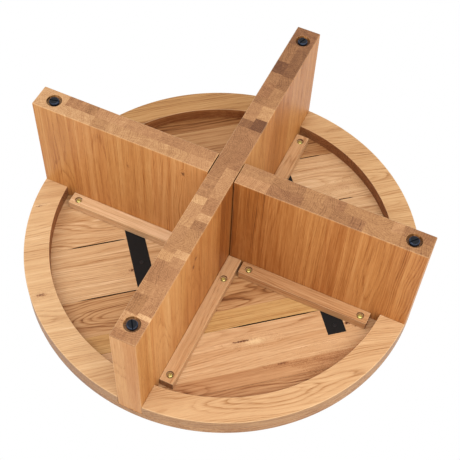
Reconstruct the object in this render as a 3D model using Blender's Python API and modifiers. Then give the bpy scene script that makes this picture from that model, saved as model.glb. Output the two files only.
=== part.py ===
"""Round solid-oak coffee table on a base of two crossed boards.

The table stands on four slotted screw glides. X runs along the long board, Y along the two half
boards, Z is up, and the origin is on the floor under the middle of the top. Lengths are in metres.
"""

import math

import bmesh
import bpy
from mathutils import Matrix
from mathutils import Vector

# Overall sizes.
TABLE_D = 0.800
BASE_H = 0.262  # foot edge of the boards to the underside of the planks
BOARD_T = 0.0495

# Top: planks glued edge to edge, with a rim of four arcs glued under them.
PLANK_T = 0.018
PLANK_W = 0.1255
PLANK_COUNT = 7
PLANK_ANGLE = math.radians(51)  # planks against the long board
TOP_ROUND = 0.003  # rounding of the top's upper edge
RIM_W = 0.0505
RIM_T = 0.028
RIM_EASE = 0.0012

# Base boards.
BOARD_EASE = 0.0015
HALF_BOARD_GAP = 0.001  # open joint between a half board and the long board
DOWEL_D = 0.012
DOWEL_L = 0.110
DOWEL_END = 0.060  # dowel's distance from the board's upper and lower edge

# Cleats in the corners between the boards and the top.
CLEAT_W = 0.028
CLEAT_H = 0.020
CLEAT_EASE = 0.001
CLEAT_RIM_GAP = 0.0185
CLEAT_BUTT_GAP = 0.005
CLEAT_SCREW_END = 0.017  # a screw's distance from its cleat's end
LONG_CLEAT_SCREW = 0.055  # the same at the inner end of the long board's cleats

# Pan-head wood screws in counterbored holes through the cleats.
SCREW_D = 0.005
SCREW_L = 0.028  # under the head
SCREW_HEAD_D = 0.0106
SCREW_HEAD_H = 0.003
SCREW_SINK_D = 0.0153
SCREW_SINK = 0.0055
RECESS_W = 0.0013  # width of an arm of the cross recess
RECESS_SPAN = 0.0052
RECESS_DEPTH = 0.0014

# Flat steel bars let in across the planks, and their countersunk screws.
BAR_W = 0.036
BAR_T = 0.005
BAR_OFFSET = 0.1695  # a bar's middle from the table's middle, along the planks
BAR_RIM_GAP = 0.050
BAR_SCREW_END = 0.018
BAR_SCREW_D = 0.004
BAR_SCREW_L = 0.015
BAR_HEAD_D = 0.008
BAR_HEAD_H = 0.0022

# Levelling glides: a slotted disc on an M8 stud, in a threaded insert.
GLIDE_INSET = 0.0347  # glide's axis from the board's end
GLIDE_PROUD = 0.001
GLIDE_D = 0.0196
GLIDE_T = 0.007
GLIDE_BEVEL = 0.0013
SLOT_W = 0.0019
SLOT_DEPTH = 0.0016
SLOT_TURNS = {"right": 145, "back": 75, "left": 20, "front": 41}  # degrees
GLIDE_SINK_D = 0.030
GLIDE_SINK = 0.0065
STUD_D = 0.0078
STUD_L = 0.029
STUD_SOCKET = 0.004
INSERT_D = 0.012
INSERT_L = 0.018
INSERT_BORE_D = 0.0084
STUD_END_ROOM = 0.010

# Clearances and fineness.
GAP = 0.0003  # between two pieces that touch
HOLE_GAP = 0.0003  # around a shank in its hole
PAST = 0.002  # how far a cutter runs past the face it opens
ROUND_STEPS = 96
SMALL_STEPS = 12
GLIDE_STEPS = 28
SINK_STEPS = 32

# Levels and radii that follow.
Z_FOOT = GLIDE_PROUD
Z_UNDER = Z_FOOT + BASE_H
Z_TOP = Z_UNDER + PLANK_T
RADIUS = TABLE_D / 2
RIM_IN = RADIUS - RIM_W
BOARD_END = math.sqrt(RADIUS**2 - (BOARD_T / 2) ** 2)
BOARD_SIDE = BOARD_T / 2 + GAP
CLEAT_END = RIM_IN - CLEAT_RIM_GAP
CLEAT_FOOT = Z_UNDER - GAP - CLEAT_H
HALF_CLEAT_START = BOARD_SIDE + CLEAT_W + CLEAT_BUTT_GAP
GLIDE_AT = BOARD_END - GLIDE_INSET
BAR_L = 2 * (math.sqrt(RIM_IN**2 - (BAR_OFFSET + BAR_W / 2) ** 2) - BAR_RIM_GAP)
BAR_SCREWS = (BAR_SCREW_END - BAR_L / 2, 0.0, BAR_L / 2 - BAR_SCREW_END)
ARMS = {"right": 0, "back": 90, "left": 180, "front": 270}  # degrees from +X
SIDES = {"a": 1, "b": -1}


def clear_scene():
    for obj in list(bpy.data.objects):
        bpy.data.objects.remove(obj)


def new_collection(name):
    collection = bpy.data.collections.new(name)
    bpy.context.scene.collection.children.link(collection)
    return collection


def new_material(name, colour, roughness, metallic=0.0):
    material = bpy.data.materials.new(name)
    material.use_nodes = True
    shader = material.node_tree.nodes["Principled BSDF"]
    shader.inputs["Base Color"].default_value = (*colour, 1.0)
    shader.inputs["Roughness"].default_value = roughness
    shader.inputs["Metallic"].default_value = metallic
    return material


def place(name, mesh, location=(0, 0, 0), turn=0.0):
    """A node of the table: its mesh, moved to location and turned about Z."""
    obj = bpy.data.objects.new(name, mesh)
    TABLE.objects.link(obj)
    obj.location = location
    obj.rotation_euler.z = turn
    return obj


def helper(name, mesh):
    """A cutter or a pattern, which isn't a piece of the table."""
    obj = bpy.data.objects.new(name, mesh)
    HELPERS.objects.link(obj)
    obj.hide_render = True
    obj.display_type = "WIRE"
    return obj


def mesh_of(bm, name):
    mesh = bpy.data.meshes.new(name)
    bm.to_mesh(mesh)
    bm.free()
    return mesh


def add_box(bm, low, high, turn=None):
    """Adds a box between two corners, turned by a matrix if one is given."""
    low, high = Vector(low), Vector(high)
    move = Matrix.Translation((low + high) / 2) @ Matrix.Diagonal((*(high - low), 1))
    if turn is not None:
        move = turn @ move
    bmesh.ops.create_cube(bm, size=1, matrix=move)


def add_cylinder(bm, radius, low, high, at=(0, 0), steps=SMALL_STEPS):
    bmesh.ops.create_cone(
        bm,
        cap_ends=True,
        segments=steps,
        radius1=radius,
        radius2=radius,
        depth=high - low,
        matrix=Matrix.Translation((*at, (low + high) / 2)),
    )


def box_mesh(name, low, high):
    bm = bmesh.new()
    add_box(bm, low, high)
    return mesh_of(bm, name)


def turned(name, outline, steps, closed=False):
    """A helper turned about Z from (radius, height) points that run down its outer side."""
    bm = bmesh.new()
    points = [bm.verts.new((radius, 0, height)) for radius, height in outline]
    for first, second in zip(points, points[1:]):
        bm.edges.new((first, second))
    if closed:
        bm.edges.new((points[-1], points[0]))
    obj = helper(name, mesh_of(bm, name))
    screw = obj.modifiers.new("turn", "SCREW")
    screw.steps = steps
    screw.render_steps = steps
    screw.use_merge_vertices = True
    screw.merge_threshold = 0.00001
    screw.use_smooth_shade = False
    return obj


def ease(obj, width, segments=1):
    bevel = obj.modifiers.new("ease", "BEVEL")
    bevel.width = width
    bevel.segments = segments
    bevel.limit_method = "ANGLE"
    bevel.angle_limit = math.radians(40)


def cut(obj, cutter, operation="DIFFERENCE"):
    boolean = obj.modifiers.new(cutter.name, "BOOLEAN")
    boolean.operation = operation
    boolean.solver = "EXACT"
    boolean.object = cutter


def finished_mesh(pattern, material):
    """The pattern's shape with its modifiers carried out, for pieces that share it."""
    pattern.data.materials.append(material)
    bpy.context.view_layer.update()
    graph = bpy.context.evaluated_depsgraph_get()
    mesh = bpy.data.meshes.new_from_object(pattern.evaluated_get(graph))
    mesh.materials.clear()
    mesh.materials.append(material)
    for face in mesh.polygons:
        face.material_index = 0
    return mesh


def turned_point(x, y, degrees):
    return Matrix.Rotation(math.radians(degrees), 2) @ Vector((x, y))


def bar_places():
    """Each bar's name and its middle, measured along the planks."""
    return (("back", BAR_OFFSET), ("front", -BAR_OFFSET))


def cleat_run(degrees):
    """Where the cleats of an arm start, and where their two screws are, along the arm."""
    if degrees % 180 == 0:
        start, first = BOARD_SIDE, BOARD_SIDE + LONG_CLEAT_SCREW
    else:
        start, first = HALF_CLEAT_START, HALF_CLEAT_START + CLEAT_SCREW_END
    return start, (first, CLEAT_END - CLEAT_SCREW_END)


def cleat_screw_places():
    """Each cleat screw's name and its place on the plan."""
    places = []
    for arm, degrees in ARMS.items():
        _, screws = cleat_run(degrees)
        for side, sign in SIDES.items():
            for which, along in zip(("inner", "outer"), screws):
                point = turned_point(along, sign * (BOARD_SIDE + CLEAT_W / 2), degrees)
                places.append((f"cleat_screw_{arm}_{side}_{which}", point))
    return places


def bar_screw_places():
    places = []
    for side, along in bar_places():
        for number, across in enumerate(BAR_SCREWS, 1):
            point = turned_point(along, across, math.degrees(PLANK_ANGLE))
            places.append((f"bar_screw_{side}_{number}", point))
    return places


def bar_grooves():
    turn = Matrix.Rotation(PLANK_ANGLE, 4, "Z")
    bm = bmesh.new()
    for _, along in bar_places():
        low = (along - BAR_W / 2 - GAP, -BAR_L / 2 - GAP, Z_UNDER - PAST)
        high = (along + BAR_W / 2 + GAP, BAR_L / 2 + GAP, Z_UNDER + BAR_T + GAP)
        add_box(bm, low, high, turn)
    return helper("cut_bar_grooves", mesh_of(bm, "cut_bar_grooves"))


def plank_pilots():
    """The screws' holes in the underside of the planks."""
    cleat_tip = CLEAT_FOOT + SCREW_SINK - GAP + SCREW_L
    bm = bmesh.new()
    for _, point in cleat_screw_places():
        radius = SCREW_D / 2 + HOLE_GAP
        add_cylinder(bm, radius, Z_UNDER - PAST, cleat_tip + HOLE_GAP, point)
    for _, point in bar_screw_places():
        radius = BAR_SCREW_D / 2 + HOLE_GAP
        add_cylinder(bm, radius, Z_UNDER - PAST, Z_UNDER + BAR_SCREW_L + HOLE_GAP, point)
    return helper("cut_plank_pilots", mesh_of(bm, "cut_plank_pilots"))


def round_top_mesh():
    """The whole top as one disc, with its upper edge rounded."""
    bm = bmesh.new()
    add_cylinder(bm, RADIUS, Z_UNDER, Z_TOP, steps=ROUND_STEPS)
    bm.edges.ensure_lookup_table()
    upper = [edge for edge in bm.edges if min(v.co.z for v in edge.verts) > Z_TOP - GAP]
    bmesh.ops.bevel(
        bm, geom=upper, offset=TOP_ROUND, segments=2, profile=0.5, affect="EDGES"
    )
    return mesh_of(bm, "round_top")


def make_planks(material):
    disc = round_top_mesh()
    disc.materials.append(material)
    grooves = bar_grooves()
    pilots = plank_pilots()
    turn = Matrix.Rotation(PLANK_ANGLE, 4, "Z")
    middle = (PLANK_COUNT - 1) / 2
    for number in range(PLANK_COUNT):
        left = (number - middle - 0.5) * PLANK_W + GAP / 2
        right = (number - middle + 0.5) * PLANK_W - GAP / 2
        if number == 0:
            left = -TABLE_D
        if number == PLANK_COUNT - 1:
            right = TABLE_D
        bm = bmesh.new()
        low = (-TABLE_D, left, Z_UNDER - PAST)
        add_box(bm, low, (TABLE_D, right, Z_TOP + PAST), turn)
        strip = helper(f"strip_{number + 1}", mesh_of(bm, "strip"))
        plank = place(f"plank_{number + 1}", disc)
        cut(plank, strip, "INTERSECT")
        cut(plank, grooves)
        cut(plank, pilots)


def make_rim(material):
    """Four arcs between the boards' ends. One arc is made, and the others are turned copies."""
    bm = bmesh.new()
    low, high = Z_UNDER - RIM_T, Z_UNDER - GAP
    add_cylinder(bm, RADIUS, low, high, steps=ROUND_STEPS)
    arc = helper("rim_pattern", mesh_of(bm, "rim_pattern"))
    bm = bmesh.new()
    add_cylinder(bm, RIM_IN, low - PAST, high + PAST, steps=ROUND_STEPS)
    cut(arc, helper("cut_rim_inside", mesh_of(bm, "cut_rim_inside")))
    corner = (BOARD_SIDE, BOARD_SIDE, low - PAST)
    quarter = box_mesh("quarter", corner, (TABLE_D, TABLE_D, high + PAST))
    cut(arc, helper("quarter", quarter), "INTERSECT")
    ease(arc, RIM_EASE)
    mesh = finished_mesh(arc, material)
    for number, degrees in enumerate(ARMS.values(), 1):
        place(f"rim_arc_{number}", mesh, turn=math.radians(degrees))


def glide_sink():
    """The stepped hole in a board for a glide: counterbore, insert, and room for the stud."""
    floor = Z_FOOT + GLIDE_SINK
    insert_end = floor + INSERT_L + HOLE_GAP
    sink, insert = GLIDE_SINK_D / 2, INSERT_D / 2 + HOLE_GAP
    room = STUD_D / 2 + HOLE_GAP
    outline = [
        (0, insert_end + STUD_END_ROOM),
        (room, insert_end + STUD_END_ROOM),
        (room, insert_end),
        (insert, insert_end),
        (insert, floor),
        (sink, floor),
        (sink, Z_FOOT - PAST),
        (0, Z_FOOT - PAST),
    ]
    return turned("glide_sink", outline, SINK_STEPS)


def dowel_levels():
    return (("low", Z_FOOT + DOWEL_END), ("high", Z_UNDER - DOWEL_END))


def dowel_holes():
    bm = bmesh.new()
    for _, level in dowel_levels():
        lie = Matrix.Translation((0, 0, level)) @ Matrix.Rotation(math.pi / 2, 4, "X")
        bmesh.ops.create_cone(
            bm,
            cap_ends=True,
            segments=SINK_STEPS // 2,
            radius1=DOWEL_D / 2 + HOLE_GAP,
            radius2=DOWEL_D / 2 + HOLE_GAP,
            depth=DOWEL_L + 2 * PAST,
            matrix=lie,
        )
    return helper("cut_dowel_holes", mesh_of(bm, "cut_dowel_holes"))


def make_boards(material):
    sink = glide_sink()
    holes = dowel_holes()
    top = Z_UNDER - GAP
    inner = BOARD_T / 2 + HALF_BOARD_GAP
    starts = {"long_board": -BOARD_END, "half_board_back": inner, "half_board_front": inner}
    turns = {"long_board": 0, "half_board_back": 90, "half_board_front": 270}
    for name, start in starts.items():
        mesh = box_mesh(
            name, (start, -BOARD_T / 2, Z_FOOT), (BOARD_END, BOARD_T / 2, top)
        )
        mesh.materials.append(material)
        board = place(name, mesh, turn=math.radians(turns[name]))
        ease(board, BOARD_EASE)
        for arm, degrees in ARMS.items():
            if (degrees - turns[name]) % 360 == 0 or (start < 0 and degrees == 180):
                cutter = helper(f"cut_glide_{arm}", finished_mesh(sink, material))
                cutter.location = (*turned_point(GLIDE_AT, 0, degrees), 0)
                cut(board, cutter)
        cut(board, holes)


def make_dowels(material):
    reach, radius = DOWEL_L / 2, DOWEL_D / 2
    outline = [
        (0, reach),
        (radius * 0.8, reach),
        (radius, reach - radius * 0.3),
        (radius, radius * 0.3 - reach),
        (radius * 0.8, -reach),
        (0, -reach),
    ]
    mesh = finished_mesh(turned("dowel_pattern", outline, SINK_STEPS // 2), material)
    for name, level in dowel_levels():
        dowel = place(f"dowel_{name}", mesh, (0, 0, level))
        dowel.rotation_euler.x = math.pi / 2


def cleat_mesh(name, degrees, material):
    """A cleat along +X, with its width across Y about the origin and its two screw holes."""
    start, screws = cleat_run(degrees)
    foot, top = CLEAT_FOOT, CLEAT_FOOT + CLEAT_H
    low, high = (start, -CLEAT_W / 2, foot), (CLEAT_END, CLEAT_W / 2, top)
    cleat = helper(name, box_mesh(name, low, high))
    ease(cleat, CLEAT_EASE)
    for label, radius, low, high in (
        ("sinks", SCREW_SINK_D / 2, foot - PAST, foot + SCREW_SINK),
        ("shanks", SCREW_D / 2 + HOLE_GAP, foot, top + PAST),
    ):
        bm = bmesh.new()
        for along in screws:
            add_cylinder(bm, radius, low, high, (along, 0))
        cut(cleat, helper(f"{name}_{label}", mesh_of(bm, label)))
    return finished_mesh(cleat, material)


def make_cleats(material):
    meshes = {kind: cleat_mesh(f"cleat_{kind}", kind, material) for kind in (0, 90)}
    for arm, degrees in ARMS.items():
        for side, sign in SIDES.items():
            offset = turned_point(0, sign * (BOARD_SIDE + CLEAT_W / 2), degrees)
            mesh = meshes[degrees % 180]
            place(f"cleat_{arm}_{side}", mesh, (*offset, 0), math.radians(degrees))


def cross_recess(name, foot):
    """A cross-shaped cutter whose open side is down, at the foot of a screw's head."""
    reach, half = RECESS_SPAN / 2, RECESS_W / 2
    bm = bmesh.new()
    add_box(bm, (-reach, -half, foot - PAST), (reach, half, foot + RECESS_DEPTH))
    cross = helper(name, mesh_of(bm, name))
    arm = (half, reach)
    other = box_mesh(name, (-arm[0], -arm[1], foot - PAST / 2), (*arm, foot + RECESS_DEPTH * 0.9))
    cut(cross, helper(f"{name}_arm", other), "UNION")
    return cross


def make_cleat_screws(material):
    """Pan-head screws, modelled at the origin with the head's foot at height 0."""
    head, shank = SCREW_HEAD_D / 2, SCREW_D / 2
    tip = SCREW_HEAD_H + SCREW_L
    outline = [
        (0, tip),
        (shank * 0.3, tip - shank * 0.4),
        (shank, tip - 2 * shank),
        (shank, SCREW_HEAD_H),
        (head, SCREW_HEAD_H),
        (head, SCREW_HEAD_H * 0.4),
        (head * 0.8, 0),
        (0, 0),
    ]
    screw = turned("screw_pattern", outline, SMALL_STEPS)
    cut(screw, cross_recess("screw_cross", 0))
    mesh = finished_mesh(screw, material)
    level = CLEAT_FOOT + SCREW_SINK - GAP - SCREW_HEAD_H
    for name, point in cleat_screw_places():
        place(name, mesh, (*point, level))


def bar_outline(head, shank, far, foot):
    """A countersunk screw, or its hole, from its far end down to its head's foot."""
    return [(0, far), (shank, far), (shank, BAR_HEAD_H), (head, 0), (head, foot), (0, foot)]


def make_bars(material, screw_material):
    hole_head = BAR_HEAD_D / 2 + HOLE_GAP
    hole_shank = BAR_SCREW_D / 2 + HOLE_GAP
    outline = bar_outline(hole_head, hole_shank, BAR_T + PAST, -PAST)
    sink = finished_mesh(turned("bar_sink", outline, SMALL_STEPS), screw_material)
    low, high = (-BAR_W / 2, -BAR_L / 2, 0), (BAR_W / 2, BAR_L / 2, BAR_T)
    bar = helper("bar_pattern", box_mesh("bar_pattern", low, high))
    for number, across in enumerate(BAR_SCREWS, 1):
        cutter = helper(f"cut_bar_screw_{number}", sink)
        cutter.location = (0, across, 0)
        cut(bar, cutter)
    mesh = finished_mesh(bar, material)
    for side, along in bar_places():
        middle = turned_point(along, 0, math.degrees(PLANK_ANGLE))
        place(f"steel_bar_{side}", mesh, (*middle, Z_UNDER), PLANK_ANGLE)

    head, shank = BAR_HEAD_D / 2, BAR_SCREW_D / 2
    outline = [
        (0, BAR_SCREW_L),
        (shank * 0.3, BAR_SCREW_L - shank * 0.4),
        (shank, BAR_SCREW_L - 2 * shank),
        (shank, BAR_HEAD_H),
        (head, GAP),
        (head, 0),
        (0, 0),
    ]
    screw = turned("bar_screw_pattern", outline, SMALL_STEPS)
    cut(screw, cross_recess("bar_screw_cross", 0))
    mesh = finished_mesh(screw, screw_material)
    for name, point in bar_screw_places():
        place(name, mesh, (*point, Z_UNDER), PLANK_ANGLE)


def make_glides(plastic, steel, brass):
    """Slotted discs with the floor at height 0, their studs, and the inserts in the boards."""
    radius, socket = GLIDE_D / 2, STUD_D / 2 + HOLE_GAP
    outline = [
        (0, GLIDE_T - STUD_SOCKET),
        (socket, GLIDE_T - STUD_SOCKET),
        (socket, GLIDE_T),
        (radius, GLIDE_T),
        (radius, GLIDE_BEVEL),
        (radius - GLIDE_BEVEL, 0),
        (0, 0),
    ]
    disc = turned("glide_pattern", outline, GLIDE_STEPS)
    low, high = (-GLIDE_D, -SLOT_W / 2, -PAST), (GLIDE_D, SLOT_W / 2, SLOT_DEPTH)
    cut(disc, helper("cut_glide_slot", box_mesh("cut_glide_slot", low, high)))
    disc_mesh = finished_mesh(disc, plastic)

    stud_foot = GLIDE_T - STUD_SOCKET + GAP
    stud_top = stud_foot + STUD_L
    stud, chamfer = STUD_D / 2, STUD_D / 8
    outline = [
        (0, stud_top),
        (stud - chamfer, stud_top),
        (stud, stud_top - chamfer),
        (stud, stud_foot),
        (0, stud_foot),
    ]
    stud_mesh = finished_mesh(turned("stud_pattern", outline, GLIDE_STEPS // 2), steel)

    floor = Z_FOOT + GLIDE_SINK
    outline = [
        (INSERT_BORE_D / 2, floor + INSERT_L),
        (INSERT_D / 2, floor + INSERT_L),
        (INSERT_D / 2, floor),
        (INSERT_BORE_D / 2, floor),
    ]
    pattern = turned("insert_pattern", outline, GLIDE_STEPS // 2, closed=True)
    insert_mesh = finished_mesh(pattern, brass)

    for arm, degrees in ARMS.items():
        middle = (*turned_point(GLIDE_AT, 0, degrees), 0)
        place(f"glide_disc_{arm}", disc_mesh, middle, math.radians(SLOT_TURNS[arm]))
        place(f"glide_stud_{arm}", stud_mesh, middle)
        place(f"insert_{arm}", insert_mesh, middle)


clear_scene()
TABLE = new_collection("round_coffee_table")
HELPERS = new_collection("cutters")

oak_top = new_material("oak_top", (0.62, 0.40, 0.21), 0.5)
oak_rim = new_material("oak_rim", (0.68, 0.45, 0.23), 0.5)
oak_board = new_material("oak_board", (0.55, 0.29, 0.12), 0.5)
oak_cleat = new_material("oak_cleat", (0.60, 0.38, 0.20), 0.55)
beech_dowel = new_material("beech_dowel", (0.66, 0.47, 0.29), 0.6)
black_steel = new_material("black_steel", (0.02, 0.02, 0.02), 0.5, 0.6)
yellow_zinc = new_material("yellow_zinc", (0.62, 0.55, 0.27), 0.35, 1.0)
black_zinc = new_material("black_zinc", (0.03, 0.03, 0.03), 0.45, 0.8)
black_plastic = new_material("black_plastic", (0.015, 0.017, 0.02), 0.45)
bright_steel = new_material("bright_steel", (0.60, 0.60, 0.60), 0.35, 1.0)
brass_insert = new_material("brass_insert", (0.70, 0.52, 0.25), 0.35, 1.0)

make_planks(oak_top)
make_rim(oak_rim)
make_boards(oak_board)
make_dowels(beech_dowel)
make_cleats(oak_cleat)
make_cleat_screws(yellow_zinc)
make_bars(black_steel, black_zinc)
make_glides(black_plastic, bright_steel, brass_insert)
bpy.context.view_layer.update()
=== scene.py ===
"""Looks of the round oak coffee table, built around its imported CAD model.

Lengths are in metres in the row frame: X along the long board, Y along the half boards, Z up.
"""

import math
import random

import bmesh
import bpy
from mathutils import Matrix, Vector


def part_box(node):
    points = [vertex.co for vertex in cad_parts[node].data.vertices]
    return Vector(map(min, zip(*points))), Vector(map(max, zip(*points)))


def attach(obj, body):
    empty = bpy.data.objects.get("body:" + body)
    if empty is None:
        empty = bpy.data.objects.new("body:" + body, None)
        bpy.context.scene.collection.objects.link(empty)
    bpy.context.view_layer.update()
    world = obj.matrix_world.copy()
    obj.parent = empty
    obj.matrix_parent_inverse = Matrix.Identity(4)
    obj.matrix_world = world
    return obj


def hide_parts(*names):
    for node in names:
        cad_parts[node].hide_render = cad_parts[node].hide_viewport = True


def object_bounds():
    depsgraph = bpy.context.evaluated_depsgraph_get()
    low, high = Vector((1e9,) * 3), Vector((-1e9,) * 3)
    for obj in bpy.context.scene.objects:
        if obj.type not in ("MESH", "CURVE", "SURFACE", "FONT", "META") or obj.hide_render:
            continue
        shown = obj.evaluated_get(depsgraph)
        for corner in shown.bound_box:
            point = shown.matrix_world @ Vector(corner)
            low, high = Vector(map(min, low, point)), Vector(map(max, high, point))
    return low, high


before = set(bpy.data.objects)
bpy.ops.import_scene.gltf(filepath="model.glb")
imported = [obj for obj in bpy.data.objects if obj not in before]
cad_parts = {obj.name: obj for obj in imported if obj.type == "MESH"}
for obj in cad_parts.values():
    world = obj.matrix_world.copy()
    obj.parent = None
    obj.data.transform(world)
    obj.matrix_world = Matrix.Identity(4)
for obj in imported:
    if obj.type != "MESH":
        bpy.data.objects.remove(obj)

CAD_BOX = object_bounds()
MM = 0.001

# The view and the light.
CAMERA_AT = (1.03102, -0.43620, -1.41583)
CAMERA_AIM = (0.04080, -0.03073, 0.13)
CAMERA_ROLL = -176.668  # degrees about the line of sight
CAMERA_LENS = 76.92
CAMERA_CLIP = (0.05, 60)
LAMP_AIM = (0, 0, 0.12)
# Place, size and power of each lamp. The camera looks up from below the table, and so do most lamps.
LAMPS = {
    "overhead_box": ((0.72, -0.30, -1.40), 1.1, 12.5),
    "camera_box": ((0.48, -1.61, -1.30), 1.2, 14),
    "side_box": ((0.75, 1.30, -1.25), 1.2, 7),
    "upright_key": ((-0.9, 0.5, 2.4), 1.6, 26),
}
BACKDROP_WHITE = 1.0
FLOOR_R = 50
FLOOR_PAINT = (0.80, 0.79, 0.77, 1)
FLOOR_FADE = (1.2, 7.0)  # where the floor starts to fade into the backdrop and where it is gone

# How the planks lie, and how the boards are told apart.
PLANK_ANGLE = math.radians(51)
PLANK_W = 0.1255
PLANK_COUNT = 7
TOP_ROUND = 0.003
ARMS = {"right": 0, "back": 90, "left": 180, "front": 270}  # degrees from X
SLOT_TURNS = {"right": 145, "back": 75, "left": 20, "front": 41}  # degrees from X
GAP = 0.0003  # between glued or fitted parts
PAST = 0.002  # how far a cutter stands out of the wood
SHARP_FROM = math.radians(38)


def low(node, axis):
    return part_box(node)[0][axis]


def high(node, axis):
    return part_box(node)[1][axis]


def centre_of(node):
    """The middle of a node's box, seen from above."""
    lower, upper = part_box(node)
    return ((lower.x + upper.x) / 2, (lower.y + upper.y) / 2)


Z_FOOT = low("long_board", 2)
Z_UNDER = low("plank_4", 2)
Z_TOP = high("plank_4", 2)
RADIUS = (CAD_BOX[1][0] - CAD_BOX[0][0]) / 2
Z_RING = low("rim_arc_1", 2)
BOARD_T = high("long_board", 1) - low("long_board", 1)
BOARD_SIDE = low("rim_arc_1", 1)
RIM_IN = min(v.co.xy.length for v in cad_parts["rim_arc_1"].data.vertices)


# ---- shader helpers


def paint(red, green, blue):
    """A display colour, 0 to 255, as linear light."""
    values = []
    for part in (red, green, blue):
        part /= 255
        values.append(part / 12.92 if part <= 0.04045 else ((part + 0.055) / 1.055) ** 2.4)
    return (*values, 1.0)


class Graph:
    """A material's node tree, with short names for what the materials here need."""

    def __init__(self, name):
        self.material = bpy.data.materials.new(name)
        self.material.use_nodes = True
        self.tree = self.material.node_tree
        self.shader = self.tree.nodes["Principled BSDF"]

    def node(self, kind, **settings):
        made = self.tree.nodes.new(kind)
        for key, value in settings.items():
            setattr(made, key, value)
        return made

    def wire(self, value, socket):
        if isinstance(value, bpy.types.NodeSocket):
            self.tree.links.new(value, socket)
        else:
            socket.default_value = value

    def feed(self, made, *values):
        """Wires a node's first sockets and returns its first output."""
        for socket, value in zip(made.inputs, values):
            self.wire(value, socket)
        return made.outputs[0]

    def math(self, operation, a, b=0.0):
        return self.feed(self.node("ShaderNodeMath", operation=operation), a, b)

    def times(self, a, b):
        return self.math("MULTIPLY", a, b)

    def vector(self, operation, a, b=(0, 0, 0)):
        made = self.node("ShaderNodeVectorMath", operation=operation)
        first = self.feed(made, a, b)
        return made.outputs["Value"] if operation == "LENGTH" else first

    def scaled(self, vector, factor):
        made = self.node("ShaderNodeVectorMath", operation="SCALE")
        self.wire(vector, made.inputs[0])
        self.wire(factor, made.inputs["Scale"])
        return made.outputs[0]

    def split(self, vector):
        made = self.node("ShaderNodeSeparateXYZ")
        self.wire(vector, made.inputs[0])
        return made.outputs

    def attribute(self, name):
        return self.node("ShaderNodeAttribute", attribute_name=name).outputs["Vector"]

    def noise(self, place, stretch=(1, 1, 1), detail=2.0, roughness=0.5):
        """Noise of a place times stretch. Its outputs are a value and a colour."""
        made = self.node("ShaderNodeTexNoise")
        self.wire(self.vector("MULTIPLY", place, stretch), made.inputs["Vector"])
        self.wire(1.0, made.inputs["Scale"])
        self.wire(detail, made.inputs["Detail"])
        self.wire(roughness, made.inputs["Roughness"])
        return made.outputs

    def line_noise(self, value, detail=1.0):
        made = self.node("ShaderNodeTexNoise", noise_dimensions="1D")
        self.wire(value, made.inputs["W"])
        self.wire(1.0, made.inputs["Scale"])
        self.wire(detail, made.inputs["Detail"])
        return made.outputs[0]

    def fit(self, value, start, end, to_start=0.0, to_end=1.0, smooth=False):
        kind = "SMOOTHSTEP" if smooth else "LINEAR"
        made = self.node("ShaderNodeMapRange", interpolation_type=kind, clamp=True)
        return self.feed(made, value, start, end, to_start, to_end)

    def ramp(self, value, stops):
        made = self.node("ShaderNodeValToRGB")
        elements = made.color_ramp.elements
        while len(elements) < len(stops):
            elements.new(1.0)
        for element, (place, colour) in zip(elements, stops):
            element.position = place
            element.color = colour if isinstance(colour, tuple) else (colour, colour, colour, 1)
        return self.feed(made, value)

    def mix(self, share, a, b, blend="MIX"):
        made = self.node("ShaderNodeMix", data_type="RGBA", blend_type=blend, clamp_factor=True)
        self.wire(share, made.inputs[0])
        self.wire(a, made.inputs[6])
        self.wire(b, made.inputs[7])
        return made.outputs[2]

    def bump(self, height, distance, strength):
        made = self.node("ShaderNodeBump")
        self.wire(strength, made.inputs["Strength"])
        self.wire(distance, made.inputs["Distance"])
        self.wire(height, made.inputs["Height"])
        return made.outputs[0]

    def place(self):
        return self.node("ShaderNodeTexCoord").outputs["Object"]


def knot_field(graph, knots):
    """Three fields of the knots: how dark they are, how light, and how far rings bend round them."""
    place = graph.place()
    dark, light, bend = 0.0, 0.0, 0.0
    for (x, y, z), turn, (length, width, depth), shade in knots:
        offset = graph.vector("SUBTRACT", place, (x, y, z))
        spin = graph.node("ShaderNodeVectorRotate", rotation_type="Z_AXIS")
        graph.wire(offset, spin.inputs["Vector"])
        graph.wire(-turn, spin.inputs["Angle"])
        scaled = graph.vector("MULTIPLY", spin.outputs[0], (1 / length, 1 / width, 1 / depth))
        ragged = graph.noise(offset, (260, 260, 260), detail=3)[0]
        reach = graph.vector("LENGTH", scaled)
        reach = graph.math("ADD", reach, graph.times(ragged, 1.5))
        inside = graph.fit(reach, 1.60, 0.75, smooth=True)
        part = graph.times(inside, abs(shade))
        if shade > 0:
            dark = graph.math("MAXIMUM", dark, part)
        else:
            light = graph.math("MAXIMUM", light, part)
        around = graph.fit(reach, 2.6, 0.4, smooth=True)
        rings = min(450 * (width + depth), 7)
        bend = graph.math("ADD", bend, graph.times(around, rings))
    return dark, light, bend


# ---- materials


RING = 0.0036  # width of a growth ring
# Each oak finish from its darkest grain to its lightest.
RIM_SHADES = ((122, 76, 42), (168, 121, 76), (191, 148, 104), (206, 167, 122), (228, 196, 157))
TOP_SHADES = ((104, 60, 32), (156, 106, 64), (190, 145, 100), (207, 167, 123), (230, 196, 156))
BOARD_SHADES = ((98, 52, 22), (156, 93, 41), (190, 130, 72), (206, 154, 96), (224, 184, 133))
END_SHADES = ((92, 56, 34), (134, 91, 58), (166, 121, 81), (190, 148, 105), (208, 172, 127))
SHADE_PLACES = (0.0, 0.28, 0.55, 0.80, 1.0)
PINKER = (1.02, 0.88, 0.89, 1)
YELLOWER = (1.0, 1.01, 0.78, 1)
PORE = paint(104, 64, 38)
KNOT_PALE, KNOT_BROWN, KNOT_HEART = paint(236, 206, 158), paint(140, 82, 46), paint(78, 40, 24)
# The pale edge colour is a painted highlight for eased edges; the dark one darkens open joints and
# paints shade in holes.
EDGE_HIGHLIGHT, DARK_JOINT_AND_SHADE = paint(232, 198, 152), paint(34, 19, 11)
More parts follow.
